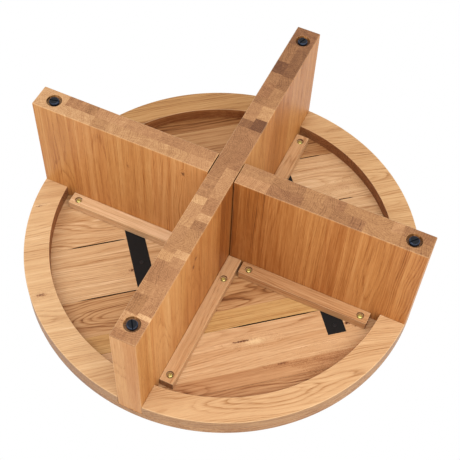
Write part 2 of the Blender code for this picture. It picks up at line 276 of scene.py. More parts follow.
DRIFT = 0.044  # how far the slow wander of the grain moves a ring
WOBBLE = 0.0046  # and the quick one


def palette(shades):
    return [(place, paint(*shade)) for place, shade in zip(SHADE_PLACES, shades)]


def oak(name, shades, figure=1.0, level=0.0, lines=1.0, bands=0.5, knots=()):
    """Lacquered oak. A piece's attributes say where a point is in its log and how its stave looks:
    "grain" is the place in the log, "look" holds tone, pinkness and ring strength, and "edge" holds
    the mark (above zero a painted highlight on eased edges, below zero dark joints and painted shade
    in holes) and how much the face is end grain.
    """
    g = Graph(name)
    grain = g.attribute("grain")
    tone, pink, strength = g.split(g.attribute("look"))
    edge, end, _ = g.split(g.attribute("edge"))

    drift = g.noise(grain, (2.2, 9, 9), detail=2)[1]
    drift = g.vector("MULTIPLY", g.vector("SUBTRACT", drift, (0.5, 0.5, 0.5)), (0, DRIFT, DRIFT))
    drift = g.scaled(drift, g.fit(strength, 0.9, 1.2, 1.0, 2.2))
    wobble = g.noise(grain, (11, 70, 70), detail=2)[1]
    wobble = g.vector("SUBTRACT", wobble, (0.5, 0.5, 0.5))
    wobble = g.vector("MULTIPLY", wobble, (0, WOBBLE, WOBBLE))
    inside = g.vector("ADD", g.vector("ADD", grain, drift), wobble)
    inside = g.vector("MULTIPLY", inside, (0, 1, 1))
    radius = g.vector("LENGTH", inside)
    count = g.math("DIVIDE", radius, RING)
    if knots:
        dark, light, bend = knot_field(g, knots)
        count = g.math("ADD", count, bend)
    phase = g.math("FRACT", count)
    early = g.ramp(phase, ((0, 0.25), (0.10, 1.0), (0.36, 0.42), (0.66, 0.05), (1.0, 0.25)))
    band = g.line_noise(g.times(count, 0.37), detail=2)
    early = g.times(early, g.fit(band, 0.30, 0.66, 0.08, 1.0))

    streak = g.noise(grain, (1.2, 70, 70), detail=3, roughness=0.6)[0]
    thread = g.noise(grain, (5, 330, 330), detail=3, roughness=0.7)[0]
    fibre = g.noise(grain, (24, 900, 900), detail=2, roughness=0.6)[0]
    cloud = g.noise(grain, (3.5, 13, 13), detail=2)[0]
    dashes = g.noise(grain, (10, 430, 430), detail=1)[0]
    dashes = g.times(g.fit(dashes, 0.54, 0.66), g.fit(early, 0.05, 0.6, 0.35, 1.0))
    pores = g.noise(grain, (60, 1700, 1700), detail=1)[0]
    pores = g.times(g.fit(pores, 0.52, 0.66), g.fit(early, 0.15, 0.7, 0.25, 1.0))
    across, deep = g.split(inside)[1:3]
    turn = g.math("ARCTAN2", across, deep)
    wedge = g.feed(g.node("ShaderNodeCombineXYZ"), g.split(grain)[0], turn, radius)
    rays = g.fit(g.noise(wedge, (40, 60, 50))[0], 0.50, 0.66)

    shade = g.math("ADD", tone, level)
    threads = g.fit(end, 0.2, 0.8, 0.60 * lines, 0.50)
    streaks = g.fit(end, 0.2, 0.8, bands, 0.18)
    fibres = g.fit(end, 0.2, 0.8, 0.34, 0.60)
    for field, amount in ((streak, streaks), (thread, threads), (fibre, fibres), (cloud, 0.24)):
        part = g.times(g.math("SUBTRACT", field, 0.5), amount)
        shade = g.math("ADD", shade, part)
    rings = g.times(g.times(early, strength), 0.40 * figure)
    shade = g.math("SUBTRACT", shade, rings)
    shade = g.math("SUBTRACT", shade, g.times(dashes, 0.20 * lines))
    shade = g.math("ADD", shade, g.times(rays, g.fit(end, 0, 1, 0.04, 0.09)))
    colour = g.ramp(shade, palette(shades))
    colour = g.mix(g.fit(end, 0.2, 0.7), colour, g.ramp(shade, palette(END_SHADES)))
    colour = g.mix(g.fit(pink, 0, 1), colour, g.mix(1.0, colour, PINKER, "MULTIPLY"))
    colour = g.mix(g.fit(pink, 0, -1), colour, g.mix(1.0, colour, YELLOWER, "MULTIPLY"))
    colour = g.mix(g.times(pores, 0.40), colour, PORE)
    if knots:
        colour = g.mix(light, colour, KNOT_PALE)
        colour = g.mix(g.times(dark, 0.70), colour, KNOT_BROWN)
        colour = g.mix(g.fit(dark, 0.45, 0.9, 0, 0.85), colour, KNOT_HEART)
    # Marks above zero paint a highlight on eased edges; marks below zero darken joints and paint shade
    # in holes.
    colour = g.mix(g.fit(edge, 0.0, 1.0), colour, EDGE_HIGHLIGHT)
    colour = g.mix(g.fit(edge, 0.0, -1.0), colour, DARK_JOINT_AND_SHADE)
    g.wire(colour, g.shader.inputs["Base Color"])

    gloss = g.math("ADD", 0.44, g.times(pores, 0.25))
    gloss = g.math("ADD", gloss, g.times(g.math("SUBTRACT", cloud, 0.5), 0.20))
    g.wire(gloss, g.shader.inputs["Roughness"])
    height = g.math("SUBTRACT", g.times(thread, 0.35), g.times(pores, 0.9))
    height = g.math("SUBTRACT", height, g.times(early, 0.35))
    g.wire(g.bump(height, 0.00014, 0.6), g.shader.inputs["Normal"])
    g.wire(0.20, g.shader.inputs["Specular IOR Level"])
    return g.material


def speckled(name, base, other, metallic, rough, fine, wear_and_sheen=None, shine=0.5):
    """A finish with fine mottling: powder coat, zinc, moulded plastic or turned metal."""
    g = Graph(name)
    place = g.place()
    grit = g.noise(place, (fine,) * 3, detail=3, roughness=0.6)[0]
    patch = g.noise(place, (fine * 0.06,) * 3, detail=3)[0]
    colour = g.mix(g.fit(patch, 0.3, 0.7), base, other)
    colour = g.mix(g.fit(grit, 0.35, 0.75, 0.0, 0.35), colour, other)
    if wear_and_sheen is not None:
        # The mark mixes in the edge colour: wear on the bars' edges, a painted sheen on the glides'
        # bevels. Marks below zero take the sheen away, as painted shade in the glides' slots.
        edge = g.split(g.attribute("edge"))[0]
        colour = g.mix(g.times(edge, g.fit(patch, 0.35, 0.6, 0.25, 0.9)), colour, wear_and_sheen)
        g.wire(g.fit(edge, 0.0, -1.0, shine, 0.0), g.shader.inputs["Specular IOR Level"])
    else:
        g.wire(shine, g.shader.inputs["Specular IOR Level"])
    g.wire(colour, g.shader.inputs["Base Color"])
    g.wire(metallic, g.shader.inputs["Metallic"])
    spread = g.fit(grit, 0.3, 0.7, rough - 0.08, rough + 0.10)
    g.wire(spread, g.shader.inputs["Roughness"])
    g.wire(g.bump(grit, 0.00006, 0.7), g.shader.inputs["Normal"])
    return g.material


# ---- mesh helpers


def mesh_of(bm, name):
    mesh = bpy.data.meshes.new(name)
    bm.to_mesh(mesh)
    bm.free()
    return mesh


def linked(name, data):
    """A new object in the scene."""
    obj = bpy.data.objects.new(name, data)
    bpy.context.scene.collection.objects.link(obj)
    return obj


def carved(solid, *cutters):
    """The mesh of a solid with the cutters taken out of it. All of them are used up."""
    obj, *cutters = [linked("cutter", mesh_of(bm, "cutter")) for bm in (solid, *cutters)]
    for cutter in cutters:
        boolean = obj.modifiers.new("cut", "BOOLEAN")
        boolean.operation = "DIFFERENCE"
        boolean.solver = "EXACT"
        boolean.object = cutter
    bpy.context.view_layer.update()
    graph = bpy.context.evaluated_depsgraph_get()
    mesh = bpy.data.meshes.new_from_object(obj.evaluated_get(graph))
    for helper in (obj, *cutters):
        bpy.data.objects.remove(helper)
    return mesh


def add_box(bm, lower, upper, turn=Matrix()):
    move = Matrix.Translation((lower + upper) / 2) @ Matrix.Diagonal((*(upper - lower), 1))
    bmesh.ops.create_cube(bm, size=1, matrix=turn @ move)


def ease_edges(bm, edges, radius, steps):
    bmesh.ops.bevel(bm, geom=edges, offset=radius, segments=steps, profile=0.5, affect="EDGES")


def rounded_box(lower, upper, radius):
    bm = bmesh.new()
    add_box(bm, lower, upper)
    ease_edges(bm, bm.edges[:], radius, 3)
    return bm


def add_rod(bm, radius, length, move, steps):
    """A cylinder about the origin's Z axis, moved by a matrix."""
    bmesh.ops.create_cone(
        bm, cap_ends=True, segments=steps, radius1=radius, radius2=radius, depth=length, matrix=move
    )


def add_cylinder(bm, radius, bottom, top, at, steps):
    add_rod(bm, radius, top - bottom, Matrix.Translation((*at, (bottom + top) / 2)), steps)


def skin(bm, rings):
    """Joins rings of as many points each into a closed solid, with a flat face at either end."""
    rings = [[bm.verts.new(point) for point in ring] for ring in rings]
    size = len(rings[0])
    for below, above in zip(rings, rings[1:]):
        for step in range(size):
            after = (step + 1) % size
            bm.faces.new((below[step], below[after], above[after], above[step]))
    bm.faces.new(rings[0][::-1])
    bm.faces.new(rings[-1])
    bmesh.ops.recalc_face_normals(bm, faces=bm.faces[:])


def revolve(outline, steps, centre=(0, 0), bm=None):
    """A closed solid about an upright axis, from (radius, height) points that end on the axis."""
    bm = bm or bmesh.new()
    rings = []
    for radius, height in outline:
        if radius == 0:
            rings.append([bm.verts.new((centre[0], centre[1], height))])
            continue
        ring = []
        for step in range(steps):
            angle = math.tau * step / steps
            x, y = radius * math.cos(angle), radius * math.sin(angle)
            ring.append(bm.verts.new((centre[0] + x, centre[1] + y, height)))
        rings.append(ring)
    for first, second in zip(rings, rings[1:]):
        for step in range(steps):
            after = (step + 1) % steps
            if len(first) == 1:
                corners = (first[0], second[step], second[after])
            elif len(second) == 1:
                corners = (first[step], second[0], first[after])
            else:
                corners = (first[step], second[step], second[after], first[after])
            bm.faces.new(corners)
    bmesh.ops.recalc_face_normals(bm, faces=bm.faces[:])
    return bm


def fillet(corner, radius, start, end, steps=5):
    """Points of an arc about a corner's centre, between two angles in degrees."""
    points = []
    for step in range(steps + 1):
        angle = math.radians(start + (end - start) * step / steps)
        points.append((corner[0] + radius * math.cos(angle), corner[1] + radius * math.sin(angle)))
    return points


def piece(name, mesh, material, nodes, body="table"):
    """One visible piece: it rides on its body and stands for its CAD nodes."""
    mesh.materials.clear()
    mesh.materials.append(material)
    mesh.polygons.foreach_set("use_smooth", [True] * len(mesh.polygons))
    mesh.set_sharp_from_angle(angle=SHARP_FROM)
    obj = linked(name, mesh)
    obj.modifiers.new("even_normals", "WEIGHTED_NORMAL").keep_sharp = True
    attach(obj, body)
    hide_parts(*nodes)


def mark_faces(mesh, mark_of):
    """Writes the mark that a speckled finish reads. mark_of(face) gives the share of the edge colour,
    which is wear on the bars and a painted sheen on the glides' bevels, and -1 for painted shade without
    sheen.
    """
    edge = mesh.attributes.new("edge", "FLOAT_VECTOR", "CORNER")
    for face in mesh.polygons:
        mark = mark_of(face)
        for corner in face.loop_indices:
            edge.data[corner].vector = (mark, 0, 0)


def grained(mesh, describe):
    """Writes the wood's attributes. describe(centre, normal) gives a face's log matrix and its looks."""
    grain, look, edge = (
        mesh.attributes.new(name, "FLOAT_VECTOR", "CORNER") for name in ("grain", "look", "edge")
    )
    for face in mesh.polygons:
        log, looks, marks = describe(face.center, face.normal)
        for corner in face.loop_indices:
            place = mesh.vertices[mesh.loops[corner].vertex_index].co
            grain.data[corner].vector = log @ place
            look.data[corner].vector = looks
            edge.data[corner].vector = marks


def log_matrix(along, across, origin, heart):
    """From the row frame to a log: x along the grain, and the pith at heart away from the origin."""
    along, across = Vector(along).normalized(), Vector(across).normalized()
    depth = along.cross(across)
    turn = Matrix((along, across, depth)).to_4x4()
    return Matrix.Translation(Vector(heart)) @ turn @ Matrix.Translation(-Vector(origin))


def split_at(mesh, places):
    """Adds edges where upright planes cut the mesh, so that the strips between can look different."""
    bm = bmesh.new()
    bm.from_mesh(mesh)
    for place in places:
        geom = bm.verts[:] + bm.edges[:] + bm.faces[:]
        bmesh.ops.bisect_plane(bm, geom=geom, plane_co=PLANK_SIDE * place, plane_no=PLANK_SIDE)
    bm.to_mesh(mesh)
    bm.free()


def is_edge(normal, axes, limit=0.985):
    """True on an eased edge: the face looks along none of the piece's own directions."""
    return all(abs(normal.dot(axis)) < limit for axis in axes)


# ---- planks


PLANK_DIR = Vector((math.cos(PLANK_ANGLE), math.sin(PLANK_ANGLE), 0))
PLANK_SIDE = Vector((-math.sin(PLANK_ANGLE), math.cos(PLANK_ANGLE), 0))
UP = Vector((0, 0, 1))
ARC_STEPS = 160
SEAM_STEP = 0.004
TOP_STEPS = 5
SEAM_EASE = 0.00022
JOINT_EASE = 0.0005  # at the outer wall, where the planks meet the rim
BAR_ROOM = 0.0006  # round each bar in its groove
CLEAT_HOLE_R = 0.0028
BAR_HOLE_R = 0.0023
# Open stretches of the glue joints: joint number, start and end along the planks, widest opening.
OPEN_JOINTS = (
    (4, 0.184, 0.308, 0.0012),
    (3, 0.150, 0.308, 0.0010),
    (2, -0.148, 0.036, 0.0012),
    (5, -0.268, -0.215, 0.0008),
    (4, -0.304, -0.264, 0.0008),
)


def on_planks(along, across, height):
    return PLANK_DIR * along + PLANK_SIDE * across + UP * height


def opening(joint, along):
    """Half the width of the slit at a place along a joint."""
    width = 0.0
    for number, start, end, widest in OPEN_JOINTS:
        share = (along - start) / (end - start)
        if number == joint and 0 < share < 1:
            width = max(width, widest * min(1.0, 6 * share, 6 * (1 - share)))
    return width


def joint_place(joint):
    """Where a joint runs, across the planks. Joint 1 is between planks 1 and 2."""
    return (joint - PLANK_COUNT / 2) * PLANK_W


def plank_outline(number, ease, inset, slit):
    """One level of a plank's outline as (along, across) points."""
    radius = RADIUS - inset
    first = joint_place(number - 1) + GAP / 2 + ease if number > 1 else None
    last = joint_place(number) - GAP / 2 - ease if number < PLANK_COUNT else None
    steps = round(2 * RADIUS / SEAM_STEP)

    def seam(across, joint, sign):
        reach = math.sqrt(radius**2 - across**2)
        points = []
        for step in range(steps + 1):
            along = reach * (2 * step / steps - 1)
            points.append((along, across + sign * slit * opening(joint, along)))
        return points

    def arc(start, end):
        points = []
        for step in range(1, ARC_STEPS):
            angle = start + (end - start) * step / ARC_STEPS
            points.append((radius * math.cos(angle), radius * math.sin(angle)))
        return points

    if first is not None:
        right_low = math.asin(first / radius)
        points = seam(first, number - 1, 1)
        if last is None:
            return points + arc(right_low, math.pi - right_low)
    right_high = math.asin(last / radius)
    back = seam(last, number, -1)[::-1]
    if first is None:
        return back + arc(math.pi - right_high, math.tau + right_high)
    points += arc(right_low, right_high) + back
    return points + arc(math.pi - right_high, math.pi - right_low)


def plank_levels():
    """(height, seam ease, inset from the circle, share of the slit) from the underside up."""
    levels = [
        (Z_UNDER, SEAM_EASE, JOINT_EASE, 1.0),
        (Z_UNDER + SEAM_EASE * 2, 0.0, 0.0, 0.95),
        (Z_UNDER + 0.005, 0.0, 0.0, 0.55),
        (Z_UNDER + 0.010, 0.0, 0.0, 0.0),
    ]
    for step in range(TOP_STEPS + 1):
        angle = math.pi / 2 * step / TOP_STEPS
        inset = TOP_ROUND * (1 - math.cos(angle))
        height = Z_TOP - TOP_ROUND * (1 - math.sin(angle))
        levels.append((height, SEAM_EASE * step / TOP_STEPS, inset, 0.0))
    return levels


def bar_boxes():
    """Each steel bar's lowest and highest corners, measured along axes that turn with the planks."""
    turn = Matrix.Rotation(-PLANK_ANGLE, 3, "Z")
    boxes = {}
    for name in ("back", "front"):
        points = [turn @ v.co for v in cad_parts[f"steel_bar_{name}"].data.vertices]
        boxes[name] = Vector(map(min, *points)), Vector(map(max, *points))
    return boxes


CLEAT_SCREWS, BAR_SCREWS = (
    sorted(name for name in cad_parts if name.startswith(kind))
    for kind in ("cleat_screw_", "bar_screw_")
)


def plank_cutter():
    """Bar grooves and screw holes in the planks' underside, as one solid for each plank's cut."""
    bm = bmesh.new()
    turn = Matrix.Rotation(PLANK_ANGLE, 4, "Z")
    room = Vector((BAR_ROOM, BAR_ROOM, 0))
    for lower, upper in bar_boxes().values():
        lower, upper = lower - room, upper + room
        lower.z, upper.z = Z_UNDER - PAST, upper.z + GAP
        add_box(bm, lower, upper, turn)
    for nodes, radius in ((CLEAT_SCREWS, CLEAT_HOLE_R), (BAR_SCREWS, BAR_HOLE_R)):
        for node in nodes:
            add_cylinder(bm, radius, Z_UNDER - PAST, high(node, 2) + GAP, centre_of(node), 12)
    return bm


# Strips of each plank: where one ends, in mm from the plank's lower joint, then its tone, pinkness,
# strength of its rings, and how far its pith lies across from the strip's middle and under its face.
PLANK_LOOKS = {
    1: ((126, 0.52, 0.25, 0.9, 0.020, 0.060),),
    2: ((32, 0.52, 0.30, 0.9, 0.006, 0.050), (126, 0.78, 0.15, 0.6, -0.040, 0.060)),
    3: ((41, 0.58, -0.90, 0.3, 0.150, 0.050), (126, 0.60, -0.10, 1.30, 0.008, 0.034)),
    4: ((126, 0.80, 0.00, 0.9, -0.060, 0.055),),
    5: ((126, 0.80, 0.00, 1.20, 0.014, 0.034),),
    # Planks 6 and 7 lie at the far side of the top; their low, yellow tones are partly the wood's own
    # and partly painted shade.
    6: ((126, 0.48, -0.20, 0.9, -0.035, 0.050),),
    7: ((126, 0.27, -0.30, 0.9, 0.030, 0.040),),
}


OPEN_MARK, CLOSED_MARK = -1.0, -0.4  # how dark the planks' side walls are along a joint
WALL_TONE = 0.48  # of the top's outer wall


def strip_of(number, across):
    """The look of a plank's strip at a place across the planks, and the strip's middle."""
    start = joint_place(number - 1)
    begin = 0
    for end, *look in PLANK_LOOKS[number]:
        if across - start <= end * MM or end == PLANK_LOOKS[number][-1][0]:
            return look, start + (begin + end) / 2 * MM
        begin = end


def make_planks(material):
    levels = plank_levels()
    for number in range(1, PLANK_COUNT + 1):
        bm = bmesh.new()
        rings = []
        for height, ease, inset, slit in levels:
            outline = plank_outline(number, ease, inset, slit)
            rings.append([on_planks(along, across, height) for along, across in outline])
        skin(bm, rings)
        mesh = carved(bm, plank_cutter())
        split_at(mesh, [joint_place(number - 1) + look[0] * MM for look in PLANK_LOOKS[number][:-1]])
        middle = (number - (PLANK_COUNT + 1) / 2) * PLANK_W

        def describe(centre, normal, number=number, middle=middle):
            across = centre.dot(PLANK_SIDE)
            (tone, pink, strength, *pith), strip = strip_of(number, across)
            heart = (0.7 * number + strip, *pith)
            log = log_matrix(PLANK_DIR, PLANK_SIDE, on_planks(0, strip, Z_UNDER), heart)
            mark = 0.0
            wall = abs(normal.z) < 0.3 and centre.xy.length < RADIUS - 0.002
            if wall and centre.z < Z_UNDER + 0.011:
                joint = round((across + (across - middle) * 0.01) / PLANK_W + PLANK_COUNT / 2)
                mark = OPEN_MARK if opening(joint, centre.dot(PLANK_DIR)) > 0 else CLOSED_MARK
            if abs(normal.z) < 0.5 and centre.xy.length > RADIUS - 0.004:
                tone, pink = WALL_TONE, 0.0
            end = abs(normal.dot(PLANK_DIR))
            return log, (tone, pink, strength), (mark, end * end, number)

        grained(mesh, describe)
        piece(f"top_plank_{number}", mesh, material, [f"plank_{number}"])


# ---- rim


RIM_ROUND = 0.0013
RIM_STEPS = 96
RIM_PROFILE_STEPS = 3
RIM_INNER = (0.30, 0.26, 0.25)  # how much darker the inner wall is, its least tone, and its pinkness
RIM_OUTER = 0.22  # how much darker the outer wall is
# A painted highlight on the rim's lower eased edges.
RIM_EDGE_HIGHLIGHT = 0.35
# Tone, pinkness and ring strength of each arc.
RIM_LOOKS = {
    1: (0.76, 0.00, 0.8),
    2: (0.43, -0.55, 0.9),
    3: (0.62, -0.20, 1.1),
    4: (0.71, 0.05, 1.3),
}
RIM_STRIP = 0.118  # width of the boards that the rim was cut from


def rim_profile():
    """The arc's section as (radius, height) points."""
    top = Z_UNDER - GAP
    points = [(RADIUS, top - JOINT_EASE), (RADIUS - JOINT_EASE, top), (RIM_IN, top)]
    centre = (RIM_IN + RIM_ROUND, Z_RING + RIM_ROUND)
    points += fillet(centre, RIM_ROUND, 180, 270, RIM_PROFILE_STEPS)
    centre = (RADIUS - RIM_ROUND, Z_RING + RIM_ROUND)
    points += fillet(centre, RIM_ROUND, 270, 360, RIM_PROFILE_STEPS)
    return points


def make_rim(material):
    for number, degrees in enumerate(ARMS.values(), 1):
        bm = bmesh.new()
        turn = math.radians(degrees)
        sections = []
        for step in range(RIM_STEPS + 1):
            section = []
            for radius, height in rim_profile():
                first = math.asin(BOARD_SIDE / radius)
                angle = turn + first + (math.pi / 2 - 2 * first) * step / RIM_STEPS
                section.append((radius * math.cos(angle), radius * math.sin(angle), height))
            sections.append(section)
        skin(bm, sections)
        mesh = mesh_of(bm, "rim")
        split_at(mesh, [(strip + 0.5) * RIM_STRIP for strip in range(-3, 4)])

        def describe(centre, normal, number=number, looks=RIM_LOOKS[number]):
            strip = round(centre.dot(PLANK_SIDE) / RIM_STRIP)
            luck = random.Random(100 * number + strip)
            shift = luck.uniform(-0.05, 0.05)
            heart = (3.1 * number + strip, luck.uniform(-0.03, 0.03), luck.uniform(0.035, 0.06))
            origin = on_planks(0, strip * RIM_STRIP, Z_RING)
            log = log_matrix(PLANK_DIR, PLANK_SIDE, origin, heart)
            tone, pink, strength = looks
            outward = normal.xy.dot(centre.xy.normalized())
            mark = 0.0
            # Eased lower edges get a painted highlight.
            if is_edge(normal, (UP, Vector((*centre.xy.normalized(), 0)))):
                mark = RIM_EDGE_HIGHLIGHT if centre.z < Z_UNDER - 0.005 and abs(outward) > 0.2 else 0.0
            if outward < -0.7:
                darker, least, pink = RIM_INNER
                tone = max(tone - darker, least)
            elif outward > 0.7:
                tone -= RIM_OUTER
            end = abs(normal.dot(PLANK_DIR))
            return log, (tone + shift, pink, strength), (mark, end * end, number)

        grained(mesh, describe)
        piece(f"rim_{number}", mesh, material, [f"rim_arc_{number}"])


# ---- boards


BOARD_ROUND = 0.0016
# A painted highlight on the eased edges, painted shade on the walls and floor of each glide hole, and
# the dark of the open butt joint.
BOARD_EDGE_HIGHLIGHT, SINK_SHADE, BUTT_MARK = 0.12, -0.5, -0.85
BUTT_GAP = 0.0006  # how much shorter than in the CAD a half board is, so that its joint looks open
FACE_RINGS, END_RINGS = 0.6, 1.0  # ring strength on the faces and on the end grain
LAYER_MIDDLE = 0.0245
# Staves along each board's two layers: where one ends, in mm, its end grain's tone and its face's
# tone, then how strong its rings are where that is not FACE_RINGS.
LONG_PLUS = (
    (19, 0.39, 0.62), (36, 0.53, 0.62), (54, 0.64, 0.62), (93, 0.32, 0.52),
    (120, 0.49, 0.58), (169, 0.37, 0.52), (189, 0.62, 0.62), (249, 0.50, 0.58),
    (269, 0.60, 0.62), (303, 0.54, 0.58), (321, 0.68, 0.70), (371, 0.49, 0.52),
    (503, 0.37, 0.58), (523, 0.21, 0.52), (569, 0.46, 0.70), (589, 0.37, 0.58),
    (629, 0.35, 0.52), (659, 0.43, 0.58), (693, 0.08, 0.52), (746, 0.33, 0.58),
    (800, 0.22, 0.52),
)
LONG_MINUS = (
    (50, 0.42, 0.54), (59, 0.83, 0.49), (121, 0.48, 0.75), (163, 0.44, 0.68),
    (184, 0.52, 0.65), (200, 0.66, 0.51), (249, 0.47, 0.50), (270, 0.34, 0.50),
    (287, 0.65, 0.48), (326, 0.44, 0.49), (400, 0.55, 0.32), (503, 0.38, 0.64),
    (533, 0.08, 0.57), (569, 0.59, 0.48), (621, 0.44, 0.42), (657, 0.30, 0.51),
    (757, 0.23, 0.56), (800, 0.26, 0.58),
)
# The half boards' staves, in mm from the table's middle.
FRONT_MINUS = (
    (89, 0.45, 0.34), (111, 0.42, 0.52), (151, 0.38, 0.52), (189, 0.46, 0.58),
    (214, 0.40, 0.70), (230, 0.37, 0.44), (320, 0.48, 0.58), (340, 0.58, 0.70),
    (400, 0.33, 0.58),
)
FRONT_PLUS = (
    (89, 0.57, 0.35), (154, 0.33, 0.42), (211, 0.39, 0.46), (248, 0.35, 0.46),
    (274, 0.30, 0.50), (340, 0.52, 0.54), (400, 0.37, 0.49, 1.3),
)
BACK_MINUS = (
    (29, 0.58, 0.58), (146, 0.47, 0.58), (177, 0.51, 0.52), (214, 0.54, 0.52),
    (277, 0.57, 0.70), (300, 0.39, 0.52), (341, 0.45, 0.52), (400, 0.70, 0.62),
)
BACK_PLUS = (
    (72, 0.61, 0.67), (145, 0.57, 0.67, 1.8), (243, 0.58, 0.57), (275, 0.49, 0.51),
    (325, 0.64, 0.58), (400, 0.70, 0.57),
)


def glide_sink(centre):
    """The stepped hole for a glide, its insert and its stud."""
    floor, end = low("insert_right", 2), high("insert_right", 2)
    stud_r, insert_r, disc_r, lip_r = 0.0042, 0.0063, 0.0150, 0.0156
    tip = end + 0.0103
    outline = [
        (0, tip), (stud_r, tip), (stud_r, end + GAP), (insert_r, end + GAP),
        (insert_r, floor), (disc_r, floor), (disc_r, Z_FOOT + 0.0006),
        (lip_r, Z_FOOT - 0.0001), (lip_r, Z_FOOT - PAST), (0, Z_FOOT - PAST),
    ]
    return revolve(outline, 48, centre)


def dowel_holes():
    bm = bmesh.new()
    for node in ("dowel_low", "dowel_high"):
        lower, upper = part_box(node)
        level, radius = (lower.z + upper.z) / 2, (upper.z - lower.z) / 2 + GAP
        move = Matrix.Translation((0, 0, level)) @ Matrix.Rotation(math.pi / 2, 4, "X")
        add_rod(bm, radius, upper.y - lower.y + 2 * PAST, move, 24)
    return bm


def make_board(node, name, arms, along, start, layers, material, shrink=0.0):
    """A board of two layers of upright staves. along points the way that the staves are counted."""
    along = Vector(along)
    side = UP.cross(along)
    lower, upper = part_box(node)
    if along.y > 0:
        lower.y += shrink
    elif along.y < 0:
        upper.y -= shrink
    sinks = [glide_sink(centre_of(f"insert_{arm}")) for arm in arms]
    mesh = carved(rounded_box(lower, upper, BOARD_ROUND), *sinks, dowel_holes())
    bm = bmesh.new()
    bm.from_mesh(mesh)
    geom = bm.verts[:] + bm.edges[:] + bm.faces[:]
    bmesh.ops.bisect_plane(bm, geom=geom, plane_co=(0, 0, 0), plane_no=side)
    for sign, staves in layers.items():
        for end, *_ in staves[:-1]:
            faces = [f for f in bm.faces if sign * f.calc_center_median().dot(side) > 0]
            edges = {e for f in faces for e in f.edges}
            verts = {v for f in faces for v in f.verts}
            place = along * (start + end * MM)
            geom = [*verts, *edges, *faces]
            bmesh.ops.bisect_plane(bm, geom=geom, plane_co=place, plane_no=along)
    bm.to_mesh(mesh)
    bm.free()

    def describe(centre, normal):
        sign = 1 if centre.dot(side) > 0 else -1
        staves = layers[sign]
        place = (centre.dot(along) - start) / MM
        index = 0
        while index < len(staves) - 1 and place > staves[index][0]:
            index += 1
        begin = staves[index - 1][0] if index else 0
        end_mm, end_tone, tone, *special = staves[index]
        strength = special[0] if special else FACE_RINGS
        luck = random.Random(f"{name}{sign}{index}")
        middle = along * (start + (begin + end_mm) / 2 * MM)
        if strength > 1 or luck.random() < 0.35:
            heart = (luck.uniform(0, 9), luck.choice((-1, 1)) * luck.uniform(0.09, 0.2), 0.02)
        else:
            heart = (luck.uniform(0, 9), luck.uniform(-0.02, 0.02), luck.uniform(0.03, 0.07))
        log = log_matrix(UP, along, middle + side * sign * LAYER_MIDDLE, heart)
        end = abs(normal.z)
        pink = luck.uniform(-0.15, 0.25)
        if abs(normal.dot(along)) > 0.9:
            tone, pink = tone + 0.10, 0.35
        if end > 0.6:
            tone, pink, strength = end_tone, luck.uniform(-0.2, 0.2), END_RINGS
        mark = 0.0
        # Eased edges get a painted highlight, and the glide hole's walls and floor get painted shade.
        if is_edge(normal, (UP, along, side)) and abs(normal.z) < 0.98:
            mark = BOARD_EDGE_HIGHLIGHT
        if Z_FOOT + 0.0008 < centre.z < Z_FOOT + 0.012 and abs(normal.dot(side)) < 0.9:
            mark = SINK_SHADE if abs(normal.dot(along)) < 0.98 else mark
        if shrink and normal.dot(along) < -0.9:
            mark = BUTT_MARK
        return log, (tone, pink, strength), (mark, end * end, index)

    grained(mesh, describe)
    piece(name, mesh, material, [node])


def make_boards(material):
    make_board(
        "long_board", "long_board_staves", ("right", "left"), (-1, 0, 0), -RADIUS,
        {-1: LONG_PLUS, 1: LONG_MINUS}, material,
    )
    make_board(
        "half_board_front", "half_board_front_staves", ("front",), (0, -1, 0), 0.0,
        {-1: FRONT_MINUS, 1: FRONT_PLUS}, material, BUTT_GAP,
    )
    make_board(
        "half_board_back", "half_board_back_staves", ("back",), (0, 1, 0), 0.0,
        {1: BACK_MINUS, -1: BACK_PLUS}, material, BUTT_GAP,
    )


# ---- cleats and screws


CLEAT_ROUND = 0.0012
CLEAT_TONES = {"right": 0.66, "back": 0.80, "left": 0.64, "front": 0.52}
SINK_R = 0.00765
SINK_DEPTH = 0.0055
SINK_EASE = 0.0004
# A painted highlight on the eased edges, and painted shade on the walls of the screw holes.
CLEAT_EDGE_HIGHLIGHT, CLEAT_SINK_SHADE = 0.25, -0.45


